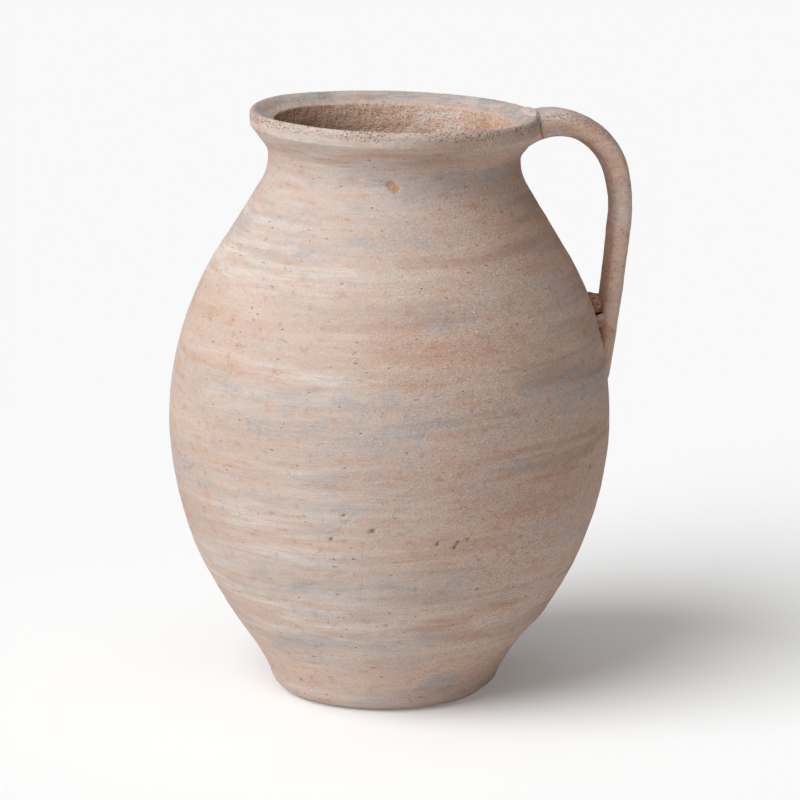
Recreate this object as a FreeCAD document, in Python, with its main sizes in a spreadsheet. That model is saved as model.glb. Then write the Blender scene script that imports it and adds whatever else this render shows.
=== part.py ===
"""A thrown terracotta pitcher: floor disc, three thrown wall sections, pulled strap handle, two clay wads.

Everything is drawn in the vessel's own upright frame: the axis of the throwing is Z, the handle points along
+X, and the centre of the foot is the origin. The whole pot then leans a little towards its handle, and the
underside is cut level, so that it stands flat on the plane Z = 0. Lengths are millimetres, angles degrees.
"""
import FreeCAD, Part
import Sketcher
import os

SIZES = {
    "lean_angle": 1.1,
    "wall_thickness": 9,
    # Foot and floor
    "foot_radius": 72.5,
    "foot_allowance": 4,
    "foot_edge_arc": 14,
    "floor_thickness": 10,
    "floor_edge_radius": 80.5,
    # Belly and shoulder
    "flare_height": 38,
    "belly_height": 197,
    "belly_radius": 151,
    "lower_belly_arc": 262,
    "upper_belly_arc": 205,
    "shoulder_top": 352,
    # Neck and rim
    "waist_height": 370,
    "waist_radius": 86,
    "collar_height": 378.5,
    "collar_radius": 89.5,
    "underside_height": 385.5,
    "underside_radius": 94.5,
    "lip_radius": 98,
    "lip_low": 389.5,
    "lip_top": 400,
    "lip_round": 3,
    "throat_radius": 81,
    "throat_height": 394,
    # Strap handle
    "root_reach": 84,
    "root_height": 386.5,
    "root_width": 42,
    "root_thickness": 23,
    "crest_reach": 112,
    "crest_arc": 45,
    "handle_reach": 159.8,
    "side_arc": 100,
    "side_height": 330.9,
    "strap_width": 28,
    "strap_thickness": 15,
    "tail_reach": 146,
    "tail_height": 205,
    "tail_width": 34,
    "tail_thickness": 10,
    # Clay wads at the handle's two joints
    "rim_wad_reach": 95,
    "rim_wad_height": 397.5,
    "rim_wad_length": 15,
    "rim_wad_width": 23,
    "rim_wad_rise": 5.5,
    "tail_wad_reach": 144,
    "tail_wad_height": 262,
    "tail_wad_length": 9,
    "tail_wad_width": 15,
    "tail_wad_rise": 15,
}

START = 1
END = 2
CENTRE = 3

doc = FreeCAD.newDocument("Pitcher")


def make_sheet():
    """The driving dimensions, one row each: the name beside its value."""
    sheet = doc.addObject("Spreadsheet::Sheet", "Sizes")
    for row, (name, value) in enumerate(SIZES.items(), start=1):
        sheet.set(f"A{row}", name)
        sheet.set(f"B{row}", str(value))
        sheet.setAlias(f"B{row}", name)


class Size:
    """A dimension that knows its number and the formula that gives it from the sheet."""

    def __init__(self, number, formula):
        self.number = number
        self.formula = formula

    def __add__(self, other):
        return Size(self.number + other.number, f"({self.formula} + {other.formula})")

    def __sub__(self, other):
        return Size(self.number - other.number, f"({self.formula} - {other.formula})")

    def __rmul__(self, factor):
        return Size(factor * self.number, f"{factor} * {self.formula}")


def size(name):
    return Size(SIZES[name], f"Sizes.{name}")


def point(reach, height):
    """Where a corner starts out, before its constraints hold it."""
    return reach.number, height.number


NOTHING = Size(0, "0")


def make_body(label):
    """An empty body that carries the lean of the whole pot."""
    body = doc.addObject("PartDesign::Body", label)
    body.Label = label
    body.Placement.Rotation = FreeCAD.Rotation(FreeCAD.Vector(0, 1, 0), SIZES["lean_angle"])
    body.setExpression("Placement.Rotation.Angle", size("lean_angle").formula)
    return body


class Outline:
    """A sketch on an origin plane of its own body, whose corners and radii are tied to the sheet."""

    def __init__(self, body, name, plane="XZ_Plane"):
        self.sketch = body.newObject("Sketcher::SketchObject", name)
        support = next(item for item in body.Origin.OriginFeatures if item.Role == plane)
        self.sketch.AttachmentSupport = (support, "")
        self.sketch.MapMode = "FlatFace"

    def line(self, first, last):
        start = FreeCAD.Vector(*first, 0)
        end = FreeCAD.Vector(*last, 0)
        return self.sketch.addGeometry(Part.LineSegment(start, end), False)

    def loop(self, corners):
        """A closed loop of straight edges through the corners."""
        edges = [self.line(one, other) for one, other in zip(corners, corners[1:] + corners[:1])]
        for one, other in zip(edges, edges[1:] + edges[:1]):
            self.meet((one, END), (other, START))
        return edges

    def arc(self, centre, first, last):
        """An arc that runs anticlockwise round its centre from the first corner to the last."""
        middle = FreeCAD.Vector(*centre, 0)
        start = FreeCAD.Vector(*first, 0)
        end = FreeCAD.Vector(*last, 0)
        circle = Part.Circle(middle, FreeCAD.Vector(0, 0, 1), (start - middle).Length)
        arc = Part.ArcOfCircle(circle, circle.parameter(start), circle.parameter(end))
        return self.sketch.addGeometry(arc, False)

    def constrain(self, kind, *values):
        return self.sketch.addConstraint(Sketcher.Constraint(kind, *values))

    def meet(self, *ends):
        """Join the ends in pairs: each end is an edge and its START, END or CENTRE."""
        for one, other in zip(ends[::2], ends[1::2]):
            self.constrain("Coincident", *one, *other)

    def smooth(self, one, other):
        """Join two ends with a common tangent."""
        self.constrain("Tangent", *one, *other)

    def bind(self, kind, reference, value):
        """A driving dimension that follows the sheet."""
        number = self.constrain(kind, *reference, value.number)
        self.sketch.setExpression(f"Constraints[{number}]", value.formula)

    def place(self, end, reach=None, height=None):
        """Tie an edge's START, END or CENTRE to its distance from the axis and its height."""
        if reach:
            self.bind("DistanceX", (-1, START, *end), reach)
        if height:
            self.bind("DistanceY", (-1, START, *end), height)

    def on_axis(self, end):
        self.constrain("PointOnObject", *end, -2)

    def on_ground(self, end):
        self.constrain("PointOnObject", *end, -1)

    def radius(self, edge, value):
        self.bind("Radius", (edge,), value)


def turn(body, outline, name, kind="PartDesign::Revolution"):
    """Turn an outline once round the axis of the pot."""
    doc.recompute()
    turned = body.newObject(kind, name)
    turned.Profile = outline.sketch
    turned.ReferenceAxis = (outline.sketch, ["V_Axis"])
    turned.Angle = 360


def make_base_disc():
    """The clay floor: a disc with a rounded foot edge, its underside cut level."""
    body = make_body("base_disc")
    disc = Outline(body, "DiscOutline")
    top = size("floor_thickness")
    edge = size("floor_edge_radius")
    foot = size("foot_radius")
    low = size("foot_allowance")
    underside = disc.line(point(NOTHING, NOTHING - low), point(foot, NOTHING - low))
    skirt = disc.line(point(foot, NOTHING - low), point(foot, NOTHING))
    rounding = disc.arc(point(foot - low, top), point(foot, NOTHING), point(edge, top))
    face = disc.line(point(edge, top), point(NOTHING, top))
    axis = disc.line(point(NOTHING, top), point(NOTHING, NOTHING - low))
    disc.meet(
        (underside, END), (skirt, START), (skirt, END), (rounding, START), (rounding, END), (face, START),
        (face, END), (axis, START), (axis, END), (underside, START),
    )
    disc.constrain("Horizontal", underside)
    disc.constrain("Horizontal", face)
    disc.constrain("Vertical", skirt)
    disc.on_axis((axis, START))
    disc.on_axis((axis, END))
    disc.on_ground((skirt, END))
    disc.bind("DistanceY", (axis, END, -1, START), low)
    disc.place((skirt, END), reach=foot)
    disc.place((face, START), reach=edge, height=top)
    disc.radius(rounding, size("foot_edge_arc"))
    turn(body, disc, "DiscTurn")

    level = Outline(body, "LevelOutline")
    reach = 1.5 * foot
    depth = NOTHING - 3 * low
    corners = [point(reach, low), point(NOTHING - reach, NOTHING - low)]
    corners += [point(NOTHING - reach, depth), point(reach, depth)]
    ground, far_side, underneath, near_side = level.loop(corners)
    level.constrain("PointOnObject", -1, START, ground)
    level.constrain("Vertical", far_side)
    level.constrain("Vertical", near_side)
    level.constrain("Horizontal", underneath)
    level.place((ground, START), reach=reach)
    level.bind("DistanceX", (ground, END, -1, START), reach)
    level.bind("DistanceY", (underneath, START, -1, START), 3 * low)
    level.bind("Angle", (-1, START, ground, END), size("lean_angle"))
    doc.recompute()
    cut = body.newObject("PartDesign::Pocket", "LevelUnderside")
    cut.Profile = level.sketch
    cut.SideType = "Symmetric"
    cut.setExpression("Length", (4 * foot).formula)
    return body


def make_lower_body():
    """The lower wall: a flaring foot that runs into the belly, from the floor to the widest point."""
    body = make_body("lower_body")
    lower = Outline(body, "LowerWall")
    wall = size("wall_thickness")
    wide = size("belly_radius")
    tall = size("belly_height")
    arc = size("lower_belly_arc")
    edge = size("floor_edge_radius")
    floor = size("floor_thickness")
    flare_top = size("flare_height")
    hollow_low = flare_top + 0.6 * wall
    centre = point(wide - arc, tall)
    outer_corner = point(edge + 2 * wall, flare_top)
    inner_corner = point(edge + wall, hollow_low)
    flare = lower.arc(point(wide + 2 * edge, NOTHING - 2 * flare_top), outer_corner, point(edge, floor))
    belly = lower.arc(centre, outer_corner, point(wide, tall))
    joint = lower.line(point(wide, tall), point(wide - wall, tall))
    hollow = lower.arc(centre, inner_corner, point(wide - wall, tall))
    inner_foot = lower.line(inner_corner, point(edge - wall, floor))
    seat = lower.line(point(edge - wall, floor), point(edge, floor))
    lower.smooth((flare, START), (belly, START))
    lower.meet(
        (belly, END), (joint, START), (joint, END), (hollow, END), (hollow, START), (inner_foot, START),
        (inner_foot, END), (seat, START), (seat, END), (flare, END), (belly, CENTRE), (hollow, CENTRE),
    )
    lower.constrain("Horizontal", joint)
    lower.constrain("Horizontal", seat)
    lower.radius(belly, arc)
    lower.place((belly, CENTRE), height=tall)
    lower.place((belly, END), reach=wide, height=tall)
    lower.place((belly, START), height=flare_top)
    lower.place((hollow, END), reach=wide - wall)
    lower.place((hollow, START), height=hollow_low)
    lower.place((seat, START), reach=edge - 1.1 * wall)
    lower.place((seat, END), reach=edge, height=floor)
    turn(body, lower, "LowerTurn")
    return body


def shoulder_edges(outline, inset):
    """The belly, straight shoulder and neck, inset by a wall or by nothing: their low and high ends."""
    wide = size("belly_radius") - inset
    tall = size("belly_height")
    arc = size("upper_belly_arc") - inset
    waist = size("waist_radius") - inset
    waist_height = size("waist_height")
    top = size("shoulder_top")
    half_way = 0.5 * (tall + waist_height)
    shoulder_start = point(0.5 * (wide + waist), half_way)
    shoulder_end = point(waist + size("lip_round"), top)
    belly = outline.arc(point(wide - arc, tall), point(wide, tall), shoulder_start)
    shoulder = outline.line(shoulder_start, shoulder_end)
    neck = outline.arc(point(1.4 * waist, waist_height), point(waist, waist_height), shoulder_end)
    outline.smooth((belly, END), (shoulder, START))
    outline.smooth((shoulder, END), (neck, END))
    outline.radius(belly, arc)
    outline.place((belly, START), reach=wide, height=tall)
    outline.place((belly, CENTRE), height=tall)
    outline.place((neck, START), reach=waist, height=waist_height)
    outline.place((neck, CENTRE), height=waist_height)
    outline.place((shoulder, END), height=top)
    return (belly, START), (neck, START)


def flare_edge(outline, waist, mouth, mouth_height):
    """An arc that leaves the neck's waist upright and flares to a wider mouth: its lower and upper ends."""
    waist_height = size("waist_height")
    waist_point = point(waist, waist_height)
    flare = outline.arc(point(1.2 * waist, waist_height), point(mouth, mouth_height), waist_point)
    outline.place((flare, CENTRE), height=waist_height)
    outline.place((flare, END), reach=waist, height=waist_height)
    outline.place((flare, START), reach=mouth, height=mouth_height)
    return (flare, END), (flare, START)


def collar_edges(outline, band_top):
    """The neck's flare, the collar under the lip and the lip's upright band: their lower and upper ends."""
    collar = size("collar_radius")
    collar_height = size("collar_height")
    under = size("underside_radius")
    under_height = size("underside_height")
    lip = size("lip_radius")
    lip_low = size("lip_low")
    bottom, flare_top = flare_edge(outline, size("waist_radius"), collar, collar_height)
    slope = outline.line(point(collar, collar_height), point(under, under_height))
    underside = outline.line(point(under, under_height), point(lip, lip_low))
    band = outline.line(point(lip, lip_low), point(lip, band_top))
    outline.meet(flare_top, (slope, START), (slope, END), (underside, START), (underside, END), (band, START))
    outline.constrain("Vertical", band)
    outline.place((underside, START), reach=under, height=under_height)
    outline.place((band, START), reach=lip, height=lip_low)
    outline.place((band, END), height=band_top)
    return bottom, (band, END)


def link(outline, first, last, near, far):
    """A straight edge between two ends that are already there, drawn from near to far."""
    edge = outline.line(near, far)
    outline.meet(first, (edge, START), (edge, END), last)


def make_upper_body():
    """The upper wall: from the widest point over the shoulder to the waist of the neck."""
    body = make_body("upper_body")
    upper = Outline(body, "UpperWall")
    wall = size("wall_thickness")
    wide = size("belly_radius")
    tall = size("belly_height")
    waist = size("waist_radius")
    waist_height = size("waist_height")
    low_outside, high_outside = shoulder_edges(upper, NOTHING)
    low_inside, high_inside = shoulder_edges(upper, wall)
    link(upper, low_outside, low_inside, point(wide, tall), point(wide - wall, tall))
    link(upper, high_outside, high_inside, point(waist, waist_height), point(waist - wall, waist_height))
    turn(body, upper, "UpperTurn")
    return body


def rim_outline(body, name):
    """The section of the neck and rim: flared collar, upright lip, and a top that falls to the throat."""
    rim = Outline(body, name)
    lip = size("lip_radius")
    top = size("lip_top")
    rounding = size("lip_round")
    throat = size("throat_radius")
    throat_height = size("throat_height")
    waist = size("waist_radius")
    waist_inside = waist - size("wall_thickness")
    waist_height = size("waist_height")
    waist_end, band_end = collar_edges(rim, top - rounding)
    inner_end, throat_end = flare_edge(rim, waist_inside, throat, throat_height)
    crown = point(lip - rounding, top)
    corner = rim.arc(point(lip - rounding, top - rounding), point(lip, top - rounding), crown)
    rim.meet(band_end, (corner, START))
    rim.radius(corner, rounding)
    rim.place((corner, END), reach=lip - rounding, height=top)
    link(rim, (corner, END), throat_end, crown, point(throat, throat_height))
    link(rim, inner_end, waist_end, point(waist_inside, waist_height), point(waist, waist_height))
    return rim


def make_neck_rim():
    """The neck and its rim, thrown on top of the upper wall."""
    body = make_body("neck_rim")
    turn(body, rim_outline(body, "RimSection"), "RimTurn")
    return body


def cut_envelope(body, name):
    """Cut away whatever lies inside the pot's outer surface, from its widest point to above its rim."""
    room = Outline(body, name)
    wide = size("belly_radius")
    tall = size("belly_height")
    lip = size("lip_radius")
    above = size("lip_top") + size("root_thickness")
    belly_end, _ = shoulder_edges(room, NOTHING)
    _, band_end = collar_edges(room, above)
    floor = room.line(point(wide, tall), point(NOTHING, tall))
    axis = room.line(point(NOTHING, tall), point(NOTHING, above))
    roof = room.line(point(NOTHING, above), point(lip, above))
    room.meet(belly_end, (floor, START), (floor, END), (axis, START))
    room.meet((axis, END), (roof, START), (roof, END), band_end)
    room.constrain("Horizontal", floor)
    room.constrain("Horizontal", roof)
    room.on_axis((axis, START))
    room.on_axis((axis, END))
    turn(body, room, f"{name}Turn", "PartDesign::Groove")


def strap_section(body, name, plane, station, middle, width, thickness):
    """An oval across the strap, on a plane moved out to its station along the strap."""
    oval = Outline(body, name, plane)
    oval.sketch.setExpression("AttachmentOffset.Base.z", station.formula)
    upright = plane == "YZ_Plane"
    along = FreeCAD.Vector(0, 1, 0) if upright else FreeCAD.Vector(1, 0, 0)
    across = FreeCAD.Vector(1, 0, 0) if upright else FreeCAD.Vector(0, 1, 0)
    centre = middle.number * along
    wide_point = centre + 0.5 * width.number * across
    thin_point = centre - 0.5 * thickness.number * along
    edge = oval.sketch.addGeometry(Part.Ellipse(wide_point, thin_point, centre), False)
    oval.sketch.exposeInternalGeometry(edge)
    wide_line, thin_line = edge + 1, edge + 2
    oval.bind("Distance", (wide_line,), width)
    oval.bind("Distance", (thin_line,), thickness)
    if upright:
        oval.constrain("Horizontal", wide_line)
        oval.on_axis((edge, CENTRE))
        oval.place((edge, CENTRE), height=middle)
    else:
        oval.constrain("Vertical", wide_line)
        oval.on_ground((edge, CENTRE))
        oval.place((edge, CENTRE), reach=middle)
    return oval.sketch


def strap_spine(body):
    """The middle line of the strap: up out of the rim, over a tight crest, and down a long side."""
    spine = Outline(body, "StrapSpine")
    root = point(size("root_reach"), size("root_height"))
    tail = point(size("tail_reach"), size("tail_height"))
    reach = size("handle_reach")
    height = size("side_height")
    crest_arc = size("crest_arc")
    side_arc = size("side_arc")
    side_centre = point(reach - side_arc, height)
    crest_centre = point(size("crest_reach"), size("root_height") - 0.8 * crest_arc)
    crest_start = point(size("lip_radius"), size("root_height") + size("lip_round"))
    crest_end = point(reach - size("lip_round"), height + 0.5 * crest_arc)
    side_end = point(reach, height - 0.1 * side_arc)
    rise = spine.line(root, crest_start)
    crest = spine.arc(crest_centre, crest_end, crest_start)
    upper_side = spine.arc(side_centre, point(reach, height), crest_end)
    lower_side = spine.arc(side_centre, side_end, point(reach, height))
    run = spine.line(side_end, tail)
    spine.smooth((rise, END), (crest, END))
    spine.smooth((crest, START), (upper_side, END))
    spine.smooth((lower_side, START), (run, START))
    spine.meet((upper_side, START), (lower_side, END), (upper_side, CENTRE), (lower_side, CENTRE))
    spine.radius(crest, crest_arc)
    spine.radius(upper_side, side_arc)
    spine.place((crest, CENTRE), reach=size("crest_reach"))
    spine.place((upper_side, CENTRE), height=height)
    spine.place((upper_side, START), reach=reach, height=height)
    spine.place((rise, START), reach=size("root_reach"), height=size("root_height"))
    spine.place((run, END), reach=size("tail_reach"), height=size("tail_height"))
    return spine.sketch


def make_handle():
    """The pulled strap: broad where it leaves the rim, narrow along its side, flattened out on the belly."""
    body = make_body("handle")
    spine = strap_spine(body)
    root = strap_section(
        body, "RootOval", "YZ_Plane", size("root_reach"), size("root_height"),
        size("root_width"), size("root_thickness"),
    )
    side = strap_section(
        body, "SideOval", "XY_Plane", size("side_height"), size("handle_reach"),
        size("strap_width"), size("strap_thickness"),
    )
    tail = strap_section(
        body, "TailOval", "XY_Plane", size("tail_height"), size("tail_reach"),
        size("tail_width"), size("tail_thickness"),
    )
    doc.recompute()
    strap = body.newObject("PartDesign::AdditivePipe", "Strap")
    strap.Profile = root
    strap.Spine = (spine, [])
    strap.Transformation = "Multisection"
    strap.Sections = [(side, []), (tail, [])]
    doc.recompute()
    cut_envelope(body, "StrapSeat")
    return body


def clay_lump(body, name):
    """A rounded lump of soft clay, placed by its sizes in the sheet."""
    lump = body.newObject("PartDesign::AdditiveEllipsoid", f"{name}_lump")
    support = next(item for item in body.Origin.OriginFeatures if item.Role == "XY_Plane")
    lump.AttachmentSupport = (support, "")
    lump.MapMode = "FlatFace"
    lump.setExpression("AttachmentOffset.Base.x", size(f"{name}_reach").formula)
    lump.setExpression("AttachmentOffset.Base.z", size(f"{name}_height").formula)
    lump.setExpression("Radius1", size(f"{name}_rise").formula)
    lump.setExpression("Radius2", size(f"{name}_length").formula)
    lump.setExpression("Radius3", size(f"{name}_width").formula)
    doc.recompute()


def fit_to_handle(label, body, handle):
    """The piece that is left of a lump where the handle has been pressed into it."""
    fitted = doc.addObject("Part::Cut", label)
    fitted.Label = label
    fitted.Base = body
    fitted.Tool = handle
    return fitted


def make_rim_wad(handle):
    """Clay smoothed over the top of the lip where the strap is stuck on."""
    body = make_body("rim_wad_blank")
    clay_lump(body, "rim_wad")
    turn(body, rim_outline(body, "RimWadSeat"), "RimWadSeatTurn", "PartDesign::Groove")
    return fit_to_handle("upper_handle_wad", body, handle)


def make_tail_wad(handle):
    """Clay pressed into the corner between the shoulder and the lower end of the strap."""
    body = make_body("tail_wad_blank")
    clay_lump(body, "tail_wad")
    cut_envelope(body, "TailWadSeat")
    return fit_to_handle("lower_handle_wad", body, handle)


def save(pieces):
    """Write each piece to its own file, after making sure that nothing in the document has failed."""
    failed = [item.Name for item in doc.Objects if {"Invalid", "Error"} & set(item.State)]
    broken = [piece.Label for piece in pieces if piece.Shape.isNull() or not piece.Shape.isValid()]
    split = [piece.Label for piece in pieces if len(piece.Shape.Solids) != 1]
    if failed or broken or split:
        raise RuntimeError(f"failed: {failed}, broken: {broken}, not one solid: {split}")
    os.makedirs("parts", exist_ok=True)
    for piece in pieces:
        piece.Shape.exportStep(f"parts/{piece.Label}.step")
        print(piece.Label, round(piece.Shape.Volume / 1000, 1), "cm3")


make_sheet()
handle = make_handle()
pieces = [make_base_disc(), make_lower_body(), make_upper_body(), make_neck_rim()]
pieces += [handle, make_rim_wad(handle), make_tail_wad(handle)]
doc.recompute()
save(pieces)
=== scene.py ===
"""The terracotta pitcher's looks: each wall, the strap and its clay wads rebuilt as finely worked clay.

The pot is drawn upright round the Z axis, in metres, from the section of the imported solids.
A turn is an angle in degrees round that axis, counted from the handle.
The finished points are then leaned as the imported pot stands.
"""
import math

import bpy
import numpy as np
from mathutils import Matrix, Vector


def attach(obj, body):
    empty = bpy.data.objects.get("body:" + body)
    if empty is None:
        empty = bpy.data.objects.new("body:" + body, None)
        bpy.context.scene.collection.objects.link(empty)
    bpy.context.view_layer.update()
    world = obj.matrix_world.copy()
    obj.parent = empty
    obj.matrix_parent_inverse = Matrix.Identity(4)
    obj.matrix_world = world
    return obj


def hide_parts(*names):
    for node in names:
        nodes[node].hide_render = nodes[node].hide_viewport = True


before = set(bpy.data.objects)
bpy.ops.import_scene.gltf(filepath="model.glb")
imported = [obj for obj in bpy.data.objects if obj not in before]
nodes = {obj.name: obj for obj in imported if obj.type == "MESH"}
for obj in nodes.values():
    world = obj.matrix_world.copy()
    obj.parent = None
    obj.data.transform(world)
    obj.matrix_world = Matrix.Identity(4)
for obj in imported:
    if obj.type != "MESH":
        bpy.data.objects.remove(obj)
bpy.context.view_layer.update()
MM = 0.001

# --- The pot's own frame: its axis leans towards the handle, and the foot is cut level ---

LEAN = math.radians(1.1)
RIM_TILT = math.radians(0.75)
FOOT_BLEND = 12 * MM
NECK_LOW = 350 * MM
NECK_HIGH = 385 * MM


def ramp(low, high, value):
    """0 below low, 1 above high, smooth between."""
    share = np.clip((value - low) / (high - low), 0, 1)
    return share * share * (3 - 2 * share)


def upright(points):
    """Points of the standing pot, turned back to where its axis is Z."""
    turn = np.array([[math.cos(LEAN), 0, -math.sin(LEAN)], [0, 1, 0], [math.sin(LEAN), 0, math.cos(LEAN)]])
    return points @ turn.T


def standing(points):
    """Points drawn upright, with the rim settled towards the handle, leaned, and the foot made level."""
    stood = points.copy()
    settled = ramp(NECK_LOW, NECK_HIGH, points[..., 2])
    stood[..., 2] -= settled * points[..., 0] * math.tan(RIM_TILT)
    level = 1 - ramp(0, FOOT_BLEND, points[..., 2])
    stood[..., 2] += level * points[..., 0] * math.tan(LEAN)
    turn = np.array([[math.cos(LEAN), 0, math.sin(LEAN)], [0, 1, 0], [-math.sin(LEAN), 0, math.cos(LEAN)]])
    stood = stood @ turn.T
    stood[..., 2] = np.maximum(stood[..., 2], 0)
    return stood


# --- Smooth random fields, the same in every run ---

CELLS = 32
RAGGED_SIZE = 0.42
RAGGED_SHIFT = 0.17
HOLLOW_FLAT = 0.35
TINY = 1e-12


def field(points, size, seed):
    """Smooth noise from -1 to 1 whose bumps are about one size across, a number or one for each axis."""
    table = np.random.default_rng(seed).uniform(-1, 1, (CELLS, CELLS, CELLS))
    place = points / np.asarray(size, float)
    base = np.floor(place).astype(int)
    part = place - base
    part = part * part * (3 - 2 * part)
    total = np.zeros(points.shape[:-1])
    for step in np.ndindex(2, 2, 2):
        weight = np.prod(np.where(step, part, 1 - part), axis=-1)
        index = (base + step) % CELLS
        total += weight * table[index[..., 0], index[..., 1], index[..., 2]]
    return total


def hollows(points, spacing, seed, share, smallest=0.14, largest=0.5):
    """Ragged hollows strewn in cells of one spacing: 1 in the middle of a hollow, 0 outside them all."""
    table = np.random.default_rng(seed).uniform(0, 1, (CELLS, CELLS, CELLS, 5))
    place = points / np.asarray(spacing, float)
    ragged = [field(place, RAGGED_SIZE, seed + 500 + axis) for axis in range(3)]
    place = place + RAGGED_SHIFT * np.stack(ragged, axis=-1)
    base = np.floor(place).astype(int)
    deepest = np.zeros(points.shape[:-1])
    for step in np.ndindex(3, 3, 3):
        cell = base + np.array(step) - 1
        index = cell % CELLS
        drawn = table[index[..., 0], index[..., 1], index[..., 2]]
        distance = np.linalg.norm(place - cell - drawn[..., :3], axis=-1)
        reach = smallest + (largest - smallest) * drawn[..., 3] ** 2
        depth = ramp(1, HOLLOW_FLAT, distance / reach)
        deepest = np.maximum(deepest, np.where(drawn[..., 4] < share, depth, 0))
    return deepest


# --- The section of the thrown walls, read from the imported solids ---

TRACE_GAP = 0.3 * MM
FINE_STEP = 0.25 * MM
WALL_SMOOTHING = 4 * MM
EDGE_SMOOTHING = 0.7 * MM
FOOT_EDGE = (14 * MM, 34 * MM)
NECK_EDGE = (342 * MM, 358 * MM)
FACING_ASIDE = 0.2
FACING_UP = 0.6


def turned_faces(node):
    """A turned solid's triangles, upright: their corners' radius and height, and how they face out and up."""
    mesh = nodes[node].data
    mesh.calc_loop_triangles()
    corners = np.zeros(len(mesh.vertices) * 3)
    mesh.vertices.foreach_get("co", corners)
    triangles = np.zeros(len(mesh.loop_triangles) * 3, int)
    mesh.loop_triangles.foreach_get("vertices", triangles)
    corners = upright(corners.reshape(-1, 3))[triangles.reshape(-1, 3)]
    facing = np.cross(corners[:, 1] - corners[:, 0], corners[:, 2] - corners[:, 0])
    facing /= np.maximum(np.linalg.norm(facing, axis=1, keepdims=True), TINY)
    middle = corners.mean(axis=1)
    middle[:, 2] = 0
    middle /= np.maximum(np.linalg.norm(middle, axis=1, keepdims=True), TINY)
    radius = np.hypot(corners[..., 0], corners[..., 1])
    return radius, corners[..., 2], (facing * middle).sum(axis=1), facing[:, 2]


def traced(node, chosen, order):
    """The corners of the chosen triangles as one run of (radius, height) points, put in order."""
    radius, height, outward, upward = turned_faces(node)
    picked = chosen(outward, upward)
    points = np.column_stack([radius[picked].ravel(), height[picked].ravel()])
    points = points[points[:, 1] > -FINE_STEP]
    points = points[np.argsort(order(points), kind="stable")]
    kept = [points[0]]
    for point in points[1:-1]:
        if np.linalg.norm(point - kept[-1]) > TRACE_GAP:
            kept.append(point)
    return np.array(kept + [points[-1]])


def outside(outward, _):
    """Picks the triangles that face away from the axis."""
    return outward > FACING_ASIDE


def inside(outward, upward):
    """Picks the triangles that face the axis, without the lip's sloping top."""
    return (outward < -FACING_ASIDE) & (upward < FACING_UP)


def crown(outward, upward):
    """Picks the triangles of the lip's sloping top."""
    return (outward < -FACING_ASIDE) & (upward > FACING_UP)


def rising(points):
    return points[:, 1]


def falling(points):
    return -points[:, 1]


def narrowing(points):
    return -points[:, 0]


def smoothed(values, spread):
    """A run of values blurred along its length, with its two ends held."""
    reach = int(3 * spread / FINE_STEP)
    offsets = np.arange(-reach, reach + 1) * FINE_STEP
    weights = np.exp(-0.5 * (offsets / spread) ** 2)
    padded = np.pad(values, reach, mode="reflect", reflect_type="odd")
    return np.convolve(padded, weights / weights.sum(), mode="valid")


class Skin:
    """The whole skin's section, from the middle of the underside over the lip to the middle of the floor."""

    def __init__(self):
        """Traces the runs of the section, joins them end to end, and softens their corners."""
        edge = traced("base_disc", outside, rising)
        lower_inside = traced("lower_body", inside, falling)
        floor_height = edge[-1][1]
        runs = {
            "underside": np.array([[0, 0], [edge[0][0], 0]]),
            "foot_edge": edge,
            "lower_outside": traced("lower_body", outside, rising),
            "upper_outside": traced("upper_body", outside, rising),
            "rim": np.concatenate([
                traced("neck_rim", outside, rising),
                traced("neck_rim", crown, narrowing),
                traced("neck_rim", inside, falling),
            ]),
            "upper_inside": traced("upper_body", inside, falling),
            "lower_inside": lower_inside,
            "floor": np.array([lower_inside[-1], [0, floor_height]]),
        }
        self.ends = {}
        corners = [np.zeros(2)]
        along = 0
        for name, run in runs.items():
            start = along
            for corner in run:
                along += np.linalg.norm(corner - corners[-1])
                corners.append(corner)
            self.ends[name] = (start, along)
        corners = np.array(corners)
        lengths = np.concatenate([[0], np.cumsum(np.linalg.norm(np.diff(corners, axis=0), axis=1))])
        self.along = np.arange(0, along + FINE_STEP, FINE_STEP)
        sharp = [np.interp(self.along, lengths, corners[:, axis]) for axis in (0, 1)]
        wall = ramp(*FOOT_EDGE, sharp[1]) * (1 - ramp(*NECK_EDGE, sharp[1]))
        self.radius, self.height = [
            wall * smoothed(line, WALL_SMOOTHING) + (1 - wall) * smoothed(line, EDGE_SMOOTHING)
            for line in sharp
        ]
        self.lip = self.along[np.argmax(self.height)]

    def at(self, along):
        """Radius, height and the outward normal's two parts at places along the section."""
        here = [np.interp(along, self.along, line) for line in (self.radius, self.height)]
        ahead = [np.interp(along + FINE_STEP, self.along, line) for line in (self.radius, self.height)]
        behind = [np.interp(along - FINE_STEP, self.along, line) for line in (self.radius, self.height)]
        run = ahead[0] - behind[0]
        rise = ahead[1] - behind[1]
        length = np.maximum(np.hypot(run, rise), 1e-9)
        return here[0], here[1], rise / length, -run / length

    def stations(self, name, first, last):
        """Places along one run, spaced from the first step at its start to the last step at its end."""
        start, end = self.ends[name]
        mean = 0.5 * (first + last)
        share = np.linspace(0, 1, math.ceil((end - start) / mean) + 1)
        return start + (end - start) * (first * share + 0.5 * (last - first) * share ** 2) / mean


skin = Skin()

# --- How the clay was worked: unevenness, throwing rings, pits and chips ---

STREAK_RISE = 0.07

# Which way is right in the photo, and the turn that faces its camera
VIEW_RIGHT = math.radians(-12)
FRONT = 270 + math.degrees(VIEW_RIGHT)

# Where the thrown wall stands out or falls in: turn, height in mm, half width in degrees, half height
# in mm, and how far in mm
BULGES = (
    (176, 290, 70, 110, -1.9),
    (172, 42, 60, 60, -1.9),
    (345, 135, 60, 85, 1.3),
    (332, 24, 60, 34, -2.2),
    (78, 402, 110, 16, 1.3),
)

POT_TALL = 400 * MM

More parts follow.
